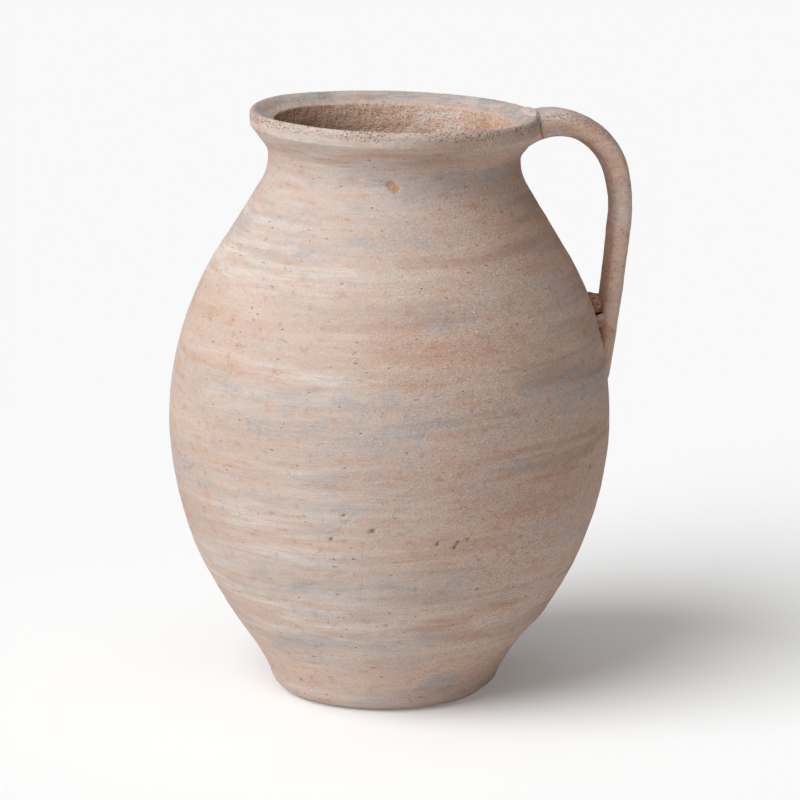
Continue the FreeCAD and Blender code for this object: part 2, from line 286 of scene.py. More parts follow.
# Where the skin has flaked: turns from the front, height as a share of the pot's, how far the chips
# scatter in degrees and in that share, how many there are, the largest half width in mm, how tall they are
FLAKED_AREAS = (
    (0, 0.91, 2.5, 0.006, 4, 4.2, 0.9),
    (-12, 0.36, 9, 0.03, 5, 2.0, 1.2),
    (20, 0.32, 7, 0.025, 5, 2.0, 1.1),
    (65, 0.38, 8, 0.07, 5, 1.8, 2.0),
    (72, 0.85, 4, 0.03, 2, 0.9, 5.0),
    (5, 0.80, 22, 0.09, 5, 1.4, 1.2),
    (-80, 0.01, 12, 0.01, 3, 4.5, 0.8),
    (150, 0.50, 60, 0.30, 9, 1.8, 1.5),
)
CHIP_DEPTH = 1.0 * MM
DISH_DEPTH = 0.9 * MM
FOOT_TUCK = 1.2 * MM
FOOT_TUCK_HEIGHT = 9 * MM
CHIP_RAGGED = 0.50
CHIP_STEEPNESS = 1.5


def turns_from(points, turn):
    """How far round the points are from a turn, from -180 to 180 degrees."""
    turn_of = np.degrees(np.arctan2(points[..., 1], points[..., 0])) % 360
    return (turn_of - turn + 180) % 360 - 180


def slanted(points):
    """The points with their heights measured along the gentle climb of the wheel marks."""
    across = points[..., 0] * math.cos(VIEW_RIGHT) + points[..., 1] * math.sin(VIEW_RIGHT)
    climbed = points.copy()
    climbed[..., 2] -= STREAK_RISE * across
    return climbed


def spot(points, turn, height, half_turn, half_height):
    """1 in the middle of an oval spot on the wall, falling to 0 at its edge."""
    away = np.hypot(turns_from(points, turn) / half_turn, (points[..., 2] - height * MM) / (half_height * MM))
    return np.clip(1 - away ** 2, 0, 1)


def scattered_chips():
    """Every chip's turn, height, half width and half height, scattered over the flaked areas."""
    draw = np.random.default_rng(71)
    chips = []
    for aside, share, turn_spread, share_spread, count, largest, tall in FLAKED_AREAS:
        for _ in range(count):
            turn = FRONT + aside + turn_spread * draw.uniform(-1, 1)
            height = (share + share_spread * draw.uniform(-1, 1)) * POT_TALL
            half_width = largest * MM * draw.uniform(0.45, 1)
            chips.append((turn, height, half_width, half_width * tall * draw.uniform(0.8, 1.2)))
    return chips


def chipped(points, outer):
    """How deep the chips are at each point, from 0 to 1, on the outer skin only."""
    depth = np.zeros(points.shape[:-1])
    ragged = CHIP_RAGGED * field(points, 2.4 * MM, 72)
    radius = np.hypot(points[..., 0], points[..., 1])
    for turn, height, half_width, half_height in scattered_chips():
        aside = np.radians(turns_from(points, turn)) * radius
        away = np.hypot(aside / half_width, (points[..., 2] - height) / half_height)
        depth = np.maximum(depth, np.clip(CHIP_STEEPNESS * (1 + ragged - away), 0, 1))
    return depth * outer


def coarseness(points, along):
    """How open and gritty the clay is: most along the lip's upper edge, in broken stretches."""
    lip = np.exp(-((along - skin.lip + 3.6 * MM) / (4.4 * MM)) ** 4)
    broken = ramp(-0.8, 0.1, field(points, (20 * MM, 20 * MM, 9 * MM), 41))
    return lip * (0.35 + 0.65 * broken)


def bulged(points):
    """How far the wall stands out where the potter's hand left it wide or narrow, in mm."""
    total = np.zeros(points.shape[:-1])
    for turn, height, half_turn, half_height, amount in BULGES:
        total += amount * ramp(0, 1, spot(points, turn, height, half_turn, half_height))
    return total


def relief(points, along):
    """How far the worked surface stands out from the plain section, in metres."""
    height = points[..., 2]
    within = ramp(skin.lip + 4 * MM, skin.lip + 12 * MM, along)
    outer = 1 - within
    climbing = slanted(points)
    soft = 0.40 * field(points, 80 * MM, 11) + 0.20 * field(points, 27 * MM, 12)
    rings = 0.13 * field(climbing, (110 * MM, 110 * MM, 7.5 * MM), 21)
    rings += 0.07 * field(climbing, (60 * MM, 60 * MM, 3.6 * MM), 22)
    mottled = 0.07 * field(points, 9 * MM, 31) + 0.04 * field(points, 4 * MM, 32)
    rim = ramp(368 * MM, 378 * MM, height)
    rough = coarseness(points, along)
    grit = rough * (0.22 * field(points, 1.7 * MM, 42) - 0.95 * lip_pits(points))
    pits = -0.45 * (1 - rim) * outer * wall_pits(points)
    bare_inside = within * (0.20 * field(points, 2.2 * MM, 61) - 0.18 * hollows(points, 3.4 * MM, 62, 0.5))
    wavy_lip = 0.35 * rim * field(points, (30 * MM, 30 * MM, 60 * MM), 13)
    raised = soft + (1 + 1.8 * within) * rings + mottled + grit + pits + bare_inside + wavy_lip
    return (raised + outer * bulged(points)) * MM - CHIP_DEPTH * chipped(points, outer)


def lip_pits(points):
    """The crowded pits of the lip's coarse upper edge."""
    return hollows(points, 3.2 * MM, 43, 0.85)


def wall_pits(points):
    """The few small pits of the outer wall."""
    return hollows(points, (12 * MM, 12 * MM, 8 * MM), 51, 0.10, 0.08, 0.24)


def underside_dish(along):
    """The underside is cut a little hollow, so that the pot stands on its edge."""
    end = skin.ends["underside"][1]
    return DISH_DEPTH * (1 - ramp(0.55 * end, 0.93 * end, along)) * (along < end)


def worked_surface(along, turns):
    """The finished skin, upright, over a grid of places along the section and turns in radians round it."""
    along, turns = np.meshgrid(along, turns, indexing="ij")
    radius, height, outward, upward = skin.at(along)
    cosine, sine = np.cos(turns), np.sin(turns)
    plain = np.stack([radius * cosine, radius * sine, height], axis=-1)
    facing = np.stack([outward * cosine, outward * sine, upward], axis=-1)
    on_wall = ramp(0.96, 1.0, along / skin.ends["underside"][1])
    tucked = FOOT_TUCK * (1 - ramp(0, FOOT_TUCK_HEIGHT, height)) * on_wall
    worked = plain + facing * (relief(plain, along) * on_wall - tucked)[..., None]
    worked[..., 2] += underside_dish(along)
    return worked, plain, along


# --- Mesh making ---


def normals_of(grid):
    """Unit normals of a grid of points, from its neighbours: rows open, columns closed."""
    down = np.gradient(grid, axis=0)
    over = np.roll(grid, -1, axis=1) - np.roll(grid, 1, axis=1)
    facing = np.cross(over, down)
    return facing / np.maximum(np.linalg.norm(facing, axis=-1, keepdims=True), TINY)


def grid_faces(rows, columns, closed):
    """Quads between the rows of a grid whose columns close, and whose rows may close too."""
    first = np.arange(rows if closed else rows - 1)
    second = (first + 1) % rows
    column = np.arange(columns)
    following = (column + 1) % columns
    quads = np.stack([
        first[:, None] * columns + column,
        first[:, None] * columns + following,
        second[:, None] * columns + following,
        second[:, None] * columns + column,
    ], axis=-1)
    return quads.reshape(-1, 4)


def make_piece(name, grid, normals, layers, closed=False):
    """A solid mesh with stain and painted-shade layers from a grid of points, capped at both ends unless its
    rows close.
    """
    rows, columns = grid.shape[:2]
    points = grid.reshape(-1, 3)
    facing = normals.reshape(-1, 3)
    faces = grid_faces(rows, columns, closed).tolist()
    values = {key: layer.reshape(-1) for key, layer in layers.items()}
    if not closed:
        ends = grid[[0, -1]].mean(axis=1)
        points = np.concatenate([points, ends])
        facing = np.concatenate([facing, normals[[0, -1]].mean(axis=1)])
        values = {
            key: np.concatenate([layer, [layer[:columns].mean(), layer[-columns:].mean()]])
            for key, layer in values.items()
        }
        last_row = (rows - 1) * columns
        for column in range(columns):
            following = (column + 1) % columns
            faces.append([rows * columns, following, column])
            faces.append([rows * columns + 1, last_row + column, last_row + following])
    mesh = bpy.data.meshes.new(name)
    mesh.from_pydata(points.tolist(), [], faces)
    for key, layer in values.items():
        attribute = mesh.attributes.new(key, "FLOAT", "POINT")
        attribute.data.foreach_set("value", np.clip(layer, 0, 1).astype(np.float32))
    mesh.shade_smooth()
    mesh.normals_split_custom_set_from_vertices(facing.tolist())
    piece = bpy.data.objects.new(name, mesh)
    bpy.context.scene.collection.objects.link(piece)
    return piece


# --- Stains and painted shade: grey and pale wash, warm and bare clay, dirt and painted shade, how gritty it is, and the inside ---

LAYERS = ("grey", "pale", "warm", "bare", "dirt_and_shade", "grit", "inner")

# Turn, height in mm, half width in degrees, half height in mm, strength
GREY_PATCHES = (
    # A narrow dark band round the neck's waist.
    (280, 368, 46, 7, 1.0),
    (232, 365, 22, 8, 0.5),
    (268, 284, 24, 10, 0.40),
    (300, 300, 36, 10, 0.4),
    (236, 214, 55, 17, 0.6),
    (318, 232, 32, 18, 0.9),
    (288, 222, 26, 11, 0.6),
    (258, 198, 34, 10, 0.5),
    (262, 38, 20, 8, 0.75),
    (285, 20, 13, 12, 0.8),
    (243, 82, 22, 7, 0.5),
    (60, 300, 40, 14, 0.6),
    (110, 225, 46, 13, 0.7),
    (30, 120, 34, 10, 0.5),
    (150, 90, 30, 9, 0.5),
    (90, 366, 50, 6, 0.8),
)
WARM_PATCHES = (
    (232, 243, 60, 7, 0.5),
    (270, 262, 26, 10, 0.35),
    (278, 66, 18, 13, 0.7),
    (190, 135, 26, 12, 0.4),
    (240, 178, 60, 10, 0.35),
    (300, 160, 34, 20, 0.4),
    (245, 125, 28, 3, 0.6),
    (320, 320, 30, 26, 0.45),
    # Painted shade on the neck beside the handle, drawn in warm clay.
    (345, 372, 32, 14, 1.0),
    # A narrow warmer, darker band under the lip's flare.
    (270, 379, 90, 7, 1.1),
    (45, 200, 40, 14, 0.5),
    (130, 165, 36, 12, 0.5),
    (90, 60, 30, 12, 0.5),
    (140, 300, 30, 9, 0.4),
)
PALE_PATCHES = (
    (262, 344, 48, 12, 0.5),
    (300, 328, 20, 14, 0.45),
    (246, 152, 50, 14, 0.35),
    (244, 110, 36, 13, 0.35),
    (215, 300, 40, 30, 0.4),
    (238, 26, 20, 10, 0.4),
    (80, 330, 46, 14, 0.5),
    (120, 120, 46, 14, 0.4),
    (20, 240, 30, 16, 0.4),
)


def patchwork(points, patches, seed):
    """The patches of one stain layer, some of them painted shade, drawn out and broken up along the wheel
    marks.
    """
    climbing = slanted(points)
    moved = points.copy()
    moved[..., 2] += 5 * MM * field(climbing, (45 * MM, 45 * MM, 30 * MM), seed)
    streaks = 0.5 + 0.5 * field(climbing, (46 * MM, 46 * MM, 3.4 * MM), seed + 1)
    streaks += 0.3 * field(climbing, (20 * MM, 20 * MM, 1.9 * MM), seed + 2)
    total = np.zeros(points.shape[:-1])
    for turn, height, half_turn, half_height, strength in patches:
        total = np.maximum(total, strength * ramp(0, 0.8, spot(moved, turn, height, half_turn, half_height)))
    return total * np.clip(0.35 + streaks, 0, 1.3)


def bands(points, seed):
    """Broad and narrow wheel-drawn bands from 0 to 1 over the whole pot."""
    climbing = slanted(points)
    broad = field(climbing, (120 * MM, 120 * MM, 26 * MM), seed)
    narrow = field(climbing, (60 * MM, 60 * MM, 7 * MM), seed + 1)
    thin = field(climbing, (34 * MM, 34 * MM, 2.4 * MM), seed + 2)
    return np.clip(0.5 + 0.55 * broad + 0.38 * narrow + 0.22 * thin, 0, 1)


def body_stains_and_painted_shade(plain, along):
    """The stain layers and painted shade of the thrown pot. The wash is thinnest on the side beside the
    handle, where shade is also painted.
    """
    height = plain[..., 2]
    # Painted shade: beside the handle, on the side away from the key light, the wash is thinned and the clay
    # warmed, darkened and smudged. Part of this is a thinner wash there.
    thin_wash_and_shaded_side = ramp(0, 0.9, spot(plain, FRONT + 70, 230, 95, 420))
    within = ramp(skin.lip + 10 * MM, skin.lip + 19 * MM, along)
    outer = 1 - within
    top = np.exp(-((along - skin.lip - 5 * MM) / (6.5 * MM)) ** 2)
    rough = coarseness(plain, along)
    grit = lip_pits(plain) * rough
    holes = wall_pits(plain) * outer * (height < 368 * MM)
    chips = chipped(plain, outer)
    shoulder = ramp(0.87 * POT_TALL, 0.89 * POT_TALL, height)
    crust = ramp(-0.25, 0.35, field(plain, 4 * MM, 91) + 0.5 * field(plain, 1.8 * MM, 92))
    salt = within * spot(plain, 52, 384, 26, 30) * (0.25 + 0.75 * crust)
    burnt = within * spot(plain, 30, 384, 12, 14)
    grey = np.maximum(0.6 * bands(plain, 101) ** 1.6, patchwork(plain, GREY_PATCHES, 111))
    pale = np.maximum(0.9 * bands(plain, 121), patchwork(plain, PALE_PATCHES, 131)) * (1 - 0.75 * thin_wash_and_shaded_side)
    # Painted shade: the pale wash is thinned on the lit left side, toning that side down.
    pale *= 1 - 0.5 * spot(plain, FRONT - 75, 210, 45, 100)
    warm = outer * (patchwork(plain, WARM_PATCHES, 141) + 0.35 * thin_wash_and_shaded_side) + 0.35 * rough + 0.8 * burnt
    smudges = 0.30 * thin_wash_and_shaded_side * ramp(0.6, 0.95, bands(plain, 151))
    # Dark smudges on the thinly washed side, and painted shade on the neck beside the handle.
    smudges_and_neck_shade = outer * (smudges + 0.35 * spot(plain, FRONT + 82, 372, 34, 14))
    in_hollows = np.maximum(0.95 * grit, 0.35 * holes)
    in_chips = (0.85 - 0.65 * shoulder) * ramp(0.2, 0.9, chips)
    return {
        "grey": outer * grey + 0.60 * top,
        "pale": outer * pale + 0.35 * top + salt,
        "warm": warm,
        "bare": chips * (0.25 + 0.75 * shoulder),
        "dirt_and_shade": in_hollows + in_chips + smudges_and_neck_shade,
        "grit": np.maximum(rough, np.maximum(0.6 * within, 0.35 * thin_wash_and_shaded_side)),
        "inner": within,
    }


# --- The thrown pieces ---

TURN_STEPS = 512
RIM_STEPS = 768
JOINT_ROWS = 3


def skin_grid(along, steps):
    """Points, normals, stains and painted shade of a stretch of skin, the same along a joint whichever piece
    asks.
    """
    gap = max(0.5 * MM, 0.5 * abs(along[-1] - along[0]) / len(along))
    padded = np.concatenate([[along[0] - gap], along, [along[-1] + gap]])
    turns = np.arange(steps) * 2 * math.pi / steps
    worked, plain, places = worked_surface(padded, turns)
    stood = standing(worked)
    normals = normals_of(stood)
    stains_and_shade = {key: layer[1:-1] for key, layer in body_stains_and_painted_shade(plain, places).items()}
    return stood[1:-1], normals[1:-1], stains_and_shade


def joint_rows(start, end):
    """Rows across the hidden joint face between two rings of points."""
    share = np.linspace(0, 1, JOINT_ROWS + 2)[1:-1, None, None]
    return start * (1 - share) + end * share


def last_held(rows):
    """The last row of some normals or of a stain, once for each row across a joint."""
    return np.repeat(rows[-1:], JOINT_ROWS, axis=0)


def thrown_piece(name, runs, steps):
    """A closed wall from runs of skin, each a name and two row steps, joined across its hidden faces."""
    grids, normals, stains_and_shade = [], [], []
    parts = [skin_grid(skin.stations(run, first, last), steps) for run, first, last in runs]
    for number, (grid, facing, layers) in enumerate(parts):
        following = parts[(number + 1) % len(parts)][0]
        grids += [grid, joint_rows(grid[-1], following[0])]
        normals += [facing, last_held(facing)]
        stains_and_shade.append({key: np.concatenate([layer, last_held(layer)]) for key, layer in layers.items()})
    layers = {key: np.concatenate([part[key] for part in stains_and_shade]) for key in stains_and_shade[0]}
    return make_piece(name, np.concatenate(grids), np.concatenate(normals), layers, closed=True)


def floor_piece(name, steps):
    """The clay floor: underside, foot edge, the hidden seat of the wall, and the floor of the inside."""
    below = skin.stations("underside", 7 * MM, 1 * MM)[1:]
    edge = skin.stations("foot_edge", 0.9 * MM, 0.9 * MM)[1:]
    above = skin.stations("floor", 4 * MM, 7 * MM)[:-1]
    low_grid, low_normals, low_stains_and_shade = skin_grid(np.concatenate([below, edge]), steps)
    top_grid, top_normals, top_stains_and_shade = skin_grid(above, steps)
    seat = joint_rows(low_grid[-1], top_grid[0])
    grid = np.concatenate([low_grid, seat, top_grid])
    facing = np.concatenate([low_normals, last_held(low_normals), top_normals])
    layers = {
        key: np.concatenate([low_stains_and_shade[key], last_held(low_stains_and_shade[key]), top_stains_and_shade[key]])
        for key in low_stains_and_shade
    }
    return make_piece(name, grid, facing, layers)


pot_floor = floor_piece("pot_floor", TURN_STEPS)
lower_wall = thrown_piece(
    "pot_lower_wall",
    [("lower_outside", 1.2 * MM, 1.7 * MM), ("lower_inside", 4.5 * MM, 4.5 * MM)],
    TURN_STEPS,
)
upper_wall = thrown_piece(
    "pot_upper_wall",
    [("upper_outside", 1.7 * MM, 1.3 * MM), ("upper_inside", 2.5 * MM, 4.5 * MM)],
    TURN_STEPS,
)
neck_rim = thrown_piece("pot_neck_rim", [("rim", 0.72 * MM, 0.9 * MM)], RIM_STEPS)

# --- The strap handle: up out of the lip, over a tight crest, down its long side and into the belly ---

STRAP_ROOT = np.array([86, 385.4]) * MM
STRAP_TAIL = np.array([146, 205]) * MM
STRAP_REACH = 159.8 * MM
CREST_ARC = 45 * MM
CREST_REACH = 112 * MM
SIDE_ARC = 100 * MM
SIDE_HEIGHT = 330.9 * MM
STRAP_STEP = 0.8 * MM
STRAP_STEPS = 112
STRAP_FULLNESS = 2.5
STRAP_BOW = 1.3 * MM
BOW_HEIGHT = 272 * MM
BOW_REACH = 42 * MM
TAIL_ROUND = 15 * MM
ARC_POINTS = 60
KNOT_BLUR = 10 * MM
SEAM_PLACE = 13 * MM
SEAM_WANDER = 1.1 * MM
SEAM_HALF_WIDTH = 0.75 * MM

# Half width and half thickness in mm at places along the strap in mm. The last pair is at its very end
STRAP_KNOTS = np.array([0, 12, 30, 60, 110, 170, 235]) * MM
STRAP_WIDTHS = np.array([25, 20.5, 17.2, 15.2, 14.0, 14.0, 15.5, 17]) * MM
STRAP_THICKNESSES = np.array([9.6, 9.4, 9.2, 8.8, 7.0, 7.1, 7.2, 6.2]) * MM


def strap_spine():
    """The strap's middle line in its plane, as evenly spaced points of reach and height."""
    side = np.array([STRAP_REACH - SIDE_ARC, SIDE_HEIGHT])
    rise = math.sqrt((SIDE_ARC - CREST_ARC) ** 2 - (CREST_REACH - side[0]) ** 2)
    crest = np.array([CREST_REACH, SIDE_HEIGHT + rise])
    start = strap_touch(STRAP_ROOT, crest, CREST_ARC, -1)
    middle = math.atan2(rise, CREST_REACH - side[0])
    end = strap_touch(STRAP_TAIL, side, SIDE_ARC, 1)
    over = np.linspace(start, middle, ARC_POINTS)
    down = np.linspace(middle, end, ARC_POINTS)[1:]
    line = [STRAP_ROOT]
    line += [crest + CREST_ARC * np.array([math.cos(angle), math.sin(angle)]) for angle in over]
    line += [side + SIDE_ARC * np.array([math.cos(angle), math.sin(angle)]) for angle in down]
    line = np.array(line + [STRAP_TAIL])
    lengths = np.concatenate([[0], np.cumsum(np.linalg.norm(np.diff(line, axis=0), axis=1))])
    count = math.ceil(lengths[-1] / STRAP_STEP)
    even = np.linspace(0, lengths[-1], count + 1)
    reach, height = [np.interp(even, lengths, line[:, axis]) for axis in (0, 1)]
    bowed = STRAP_BOW * np.exp(-((height - BOW_HEIGHT) / BOW_REACH) ** 2) * (even > lengths[-1] / 3)
    return even, np.column_stack([reach + bowed, height])


def strap_touch(point, centre, radius, side):
    """The angle at which a straight run from the point touches a circle, on one side or the other."""
    away = point - centre
    opening = math.acos(radius / np.linalg.norm(away))
    return math.atan2(away[1], away[0]) + side * opening


def strap_sizes(along, length):
    """Half width and half thickness of the strap along its length."""
    knots = np.append(STRAP_KNOTS, length)
    half_width = smoothed_knots(along, knots, STRAP_WIDTHS)
    half_thickness = smoothed_knots(along, knots, STRAP_THICKNESSES)
    into_tail = np.clip((along - length + TAIL_ROUND) / TAIL_ROUND, 0, 1)
    rounding = np.sqrt(1 - 0.96 * into_tail ** 2)
    return half_width * rounding, half_thickness * (0.4 + 0.6 * rounding)


def smoothed_knots(along, knots, values):
    """Values carried between knots with soft bends."""
    fine = np.interp(along, knots, values)
    reach = int(KNOT_BLUR / STRAP_STEP)
    padded = np.pad(fine, reach, mode="edge")
    weights = np.hanning(2 * reach + 1)
    return np.convolve(padded, weights / weights.sum(), mode="valid")


def strap_relief(points, along, around):
    """How far the strap's pulled surface stands out from its plain oval, in metres."""
    soft = 0.45 * field(points, 26 * MM, 201) + 0.22 * field(points, 11 * MM, 202)
    mottled = 0.10 * field(points, 4.5 * MM, 203) + 0.06 * field(points, 2.2 * MM, 204)
    top = strap_grit(along, around)
    grit = top * (0.20 * field(points, 1.6 * MM, 206) - 0.95 * strap_pits(points))
    pits = -0.5 * strap_holes(points)
    return (soft + mottled + grit + pits) * MM


def strap_pits(points):
    """The crowded pits of the strap's coarse upper edge."""
    return hollows(points, 3.6 * MM, 205, 0.7)


def strap_holes(points):
    """The few small holes of the rest of the strap."""
    return hollows(points, 10 * MM, 207, 0.12, 0.08, 0.26)


def strap_seam(points, along):
    """The hairline between strap and lip, on the two sides of the strap."""
    wander = SEAM_WANDER * field(points, 5 * MM, 221)
    line = np.exp(-((along - SEAM_PLACE + wander) / SEAM_HALF_WIDTH) ** 2)
    return line * ramp(9 * MM, 15 * MM, np.abs(points[..., 1]))


def strap_grit(along, around):
    """How open the clay is along the strap's upper edge, from its root to past the crest."""
    edge = np.exp(-((np.abs(np.sin(around)) - 0.62) / 0.30) ** 2) * (np.sin(around) > 0)
    return edge * ramp(8 * MM, 14 * MM, along) * (1 - ramp(50 * MM, 76 * MM, along))


def make_strap():
    """The strap: a full oval drawn along its middle line, worked, stood with the pot and stained."""
    along, line = strap_spine()
    direction = np.gradient(line, axis=0)
    direction /= np.linalg.norm(direction, axis=1, keepdims=True)
    outward = np.column_stack([-direction[:, 1], direction[:, 0]])
    half_width, half_thickness = strap_sizes(along, along[-1])
    around = np.arange(STRAP_STEPS) * 2 * math.pi / STRAP_STEPS
    fullness = 2 / STRAP_FULLNESS
    wide = np.sign(np.cos(around)) * np.abs(np.cos(around)) ** fullness
    thick = np.sign(np.sin(around)) * np.abs(np.sin(around)) ** fullness
    reach = line[:, 0, None] + outward[:, 0, None] * half_thickness[:, None] * thick
    height = line[:, 1, None] + outward[:, 1, None] * half_thickness[:, None] * thick
    aside = half_width[:, None] * wide
    plain = np.stack([reach, aside, height], axis=-1)
    facing = normals_of(plain)
    grid_along, grid_around = np.meshgrid(along, around, indexing="ij")
    worked = plain + facing * strap_relief(plain, grid_along, grid_around)[..., None]
    stood = standing(worked)
    inner_face = ramp(0.55, 0.9, -np.sin(grid_around))
    streaks = 0.5 + 0.5 * field(plain, (9 * MM, 9 * MM, 30 * MM), 211) + 0.25 * field(plain, 5 * MM, 212)
    grit = strap_grit(grid_along, grid_around)
    holes = strap_pits(plain) * grit
    low = ramp(210 * MM, 235 * MM, grid_along)
    top = ramp(0.35, 0.8, np.sin(grid_around)) * (1 - ramp(40 * MM, 110 * MM, grid_along))
    layers = {
        "grey": 0.40 * ramp(0.55, 1.0, streaks) + 0.55 * top,
        "pale": 0.65 * ramp(0.40, 0.9, streaks) + 0.45 * top,
        "warm": np.maximum(0.9 * inner_face, 0.35 * grit) + 0.25 * low + 0.25,
        "bare": ramp(180 * MM, 205 * MM, grid_along) * ramp(0.0, 0.5, -np.sin(grid_around)),
        "dirt_and_shade": np.maximum(0.9 * holes, 0.4 * strap_holes(plain)) + 0.9 * strap_seam(plain, grid_along),
        "grit": grit + 0.25,
        "inner": np.zeros_like(streaks),
    }
    return make_piece("strap_handle", stood, normals_of(stood), layers)


strap = make_strap()

# --- Clay wads at the handle's two joints ---

FALL_AWAY = 2.5
RIM_CLAY_REACH = (89, 126)
RIM_CLAY_EDGE = 97 * MM
RIM_CLAY_HALF_WIDTH = 26 * MM
RIM_CLAY_THICKNESS = 2.5 * MM
MELT = 9 * MM


def lump(name, centre, half_sizes, roughness, seed, stain, rows=70, columns=110):
    """A pressed lump of clay: a rounded form with a crumbly surface."""
    polar = np.linspace(0.03, math.pi - 0.03, rows)
    around = np.arange(columns) * 2 * math.pi / columns
    polar, around = np.meshgrid(polar, around, indexing="ij")
    level = np.sin(polar)
    shape = np.stack([level * np.cos(around), level * np.sin(around), -np.cos(polar)], axis=-1)
    plain = np.asarray(centre) * MM + shape * np.asarray(half_sizes) * MM
    crumbs = 0.5 * field(plain, 6 * MM, seed) + 0.35 * field(plain, 2.4 * MM, seed + 1)
    pits = 0.8 * hollows(plain, 3.2 * MM, seed + 2, 0.6)
    crumbs -= pits
    worked = plain + shape * (crumbs * roughness * MM)[..., None]
    stood = standing(worked)
    blank = np.zeros(polar.shape)
    layers = {key: blank + stain.get(key, 0) for key in LAYERS}
    layers["dirt_and_shade"] = layers["dirt_and_shade"] + pits
    return make_piece(name, stood, normals_of(stood), layers)


def rim_top(reach, aside):
    """Height of the lip's top over a place in plan. It falls away outside the lip and inside the throat."""
    radii, heights, _, _ = skin.at(np.linspace(skin.lip + 15 * MM, skin.lip - 3.2 * MM, 60))
    order = np.argsort(radii)
    radius = np.hypot(reach, aside)
    beyond = np.maximum(radius - radii.max(), 0) + np.maximum(radii.min() - radius, 0)
    return np.interp(radius, radii[order], heights[order]) - FALL_AWAY * beyond


def strap_top(reach, aside):
    """Height of the strap's upper side over a place in plan, and the strap's half width there."""
    along, line = strap_spine()
    half_width, half_thickness = strap_sizes(along, along[-1])
    furthest = np.argmax(line[:, 0])
    middle, wide, thick = [
        np.interp(reach, line[:furthest, 0], run[:furthest])
        for run in (line[:, 1], half_width, half_thickness)
    ]
    share = np.clip(np.abs(aside) / wide, 0, 1)
    arch = thick * (1 - share ** STRAP_FULLNESS) ** (1 / STRAP_FULLNESS)
    return middle + arch - FALL_AWAY * np.maximum(np.abs(aside) - wide, 0), wide


def make_rim_clay(name):
    """Clay smoothed over the joint of lip and strap: a thin skin whose edges sink into both."""
    rows, columns = 70, 60
    reach = np.linspace(*RIM_CLAY_REACH, rows)[:, None] * MM
    share = np.concatenate([np.linspace(-1, 1, columns), np.linspace(1, -1, columns)])
    under = np.concatenate([np.zeros(columns), np.ones(columns)])
    _, wide = strap_top(reach, 0 * reach)
    on_lip = np.sqrt(np.maximum(RIM_CLAY_EDGE ** 2 - reach ** 2, 0))
    half = np.maximum(np.minimum(on_lip, RIM_CLAY_HALF_WIDTH), wide - 1.5 * MM)
    aside = half * share
    reach = reach + 0 * aside
    lip, strap_height = rim_top(reach, aside), strap_top(reach, aside)[0]
    blend = np.clip(1 - np.abs(lip - strap_height) / MELT, 0, 1) ** 2 * MELT / 4
    ends = np.abs(np.linspace(-1, 1, rows))[:, None]
    sunk = 1.5 * MM * np.maximum(np.abs(share) ** 8, ends ** 8)
    height = np.maximum(lip, strap_height) + blend + 0.35 * MM - sunk
    plain = np.stack([reach, aside, height], axis=-1)
    worked = plain.copy()
    worked[..., 2] += (0.30 * field(plain, 12 * MM, 301) + 0.14 * field(plain, 3 * MM, 302)) * MM
    worked[..., 2] -= under * RIM_CLAY_THICKNESS
    stood = standing(worked)
    streaks = 0.5 + 0.5 * field(plain, (14 * MM, 14 * MM, 5 * MM), 303)
    blank = np.zeros(streaks.shape)
    grit = np.maximum(ramp(0.55, 1, -share + blank) * ramp(100 * MM, 108 * MM, reach), 0)
    layers = {key: blank for key in LAYERS}
    layers |= {"grey": 0.35 + 0.3 * streaks, "pale": 0.5 + 0.3 * streaks, "warm": 0.3 * grit, "grit": grit}
    layers["dirt_and_shade"] = 0.9 * grit * strap_pits(plain)
    return make_piece(name, stood, normals_of(stood), layers)


rim_clay = make_rim_clay("rim_joint_clay")
lower_clay = lump(
    "lower_joint_clay", (142.5, 0, 265), (9, 10.5, 7.5), 3.0, 311,
    {"warm": 0.1, "bare": 0.5, "dirt_and_shade": 0.25, "grit": 0.4},
)
putty = lump("lower_joint_putty", (147, -9, 254), (6, 3.4, 5), 0.7, 331, {"pale": 0.6, "warm": 0.2}, 40, 60)

# --- Clay and its washes ---


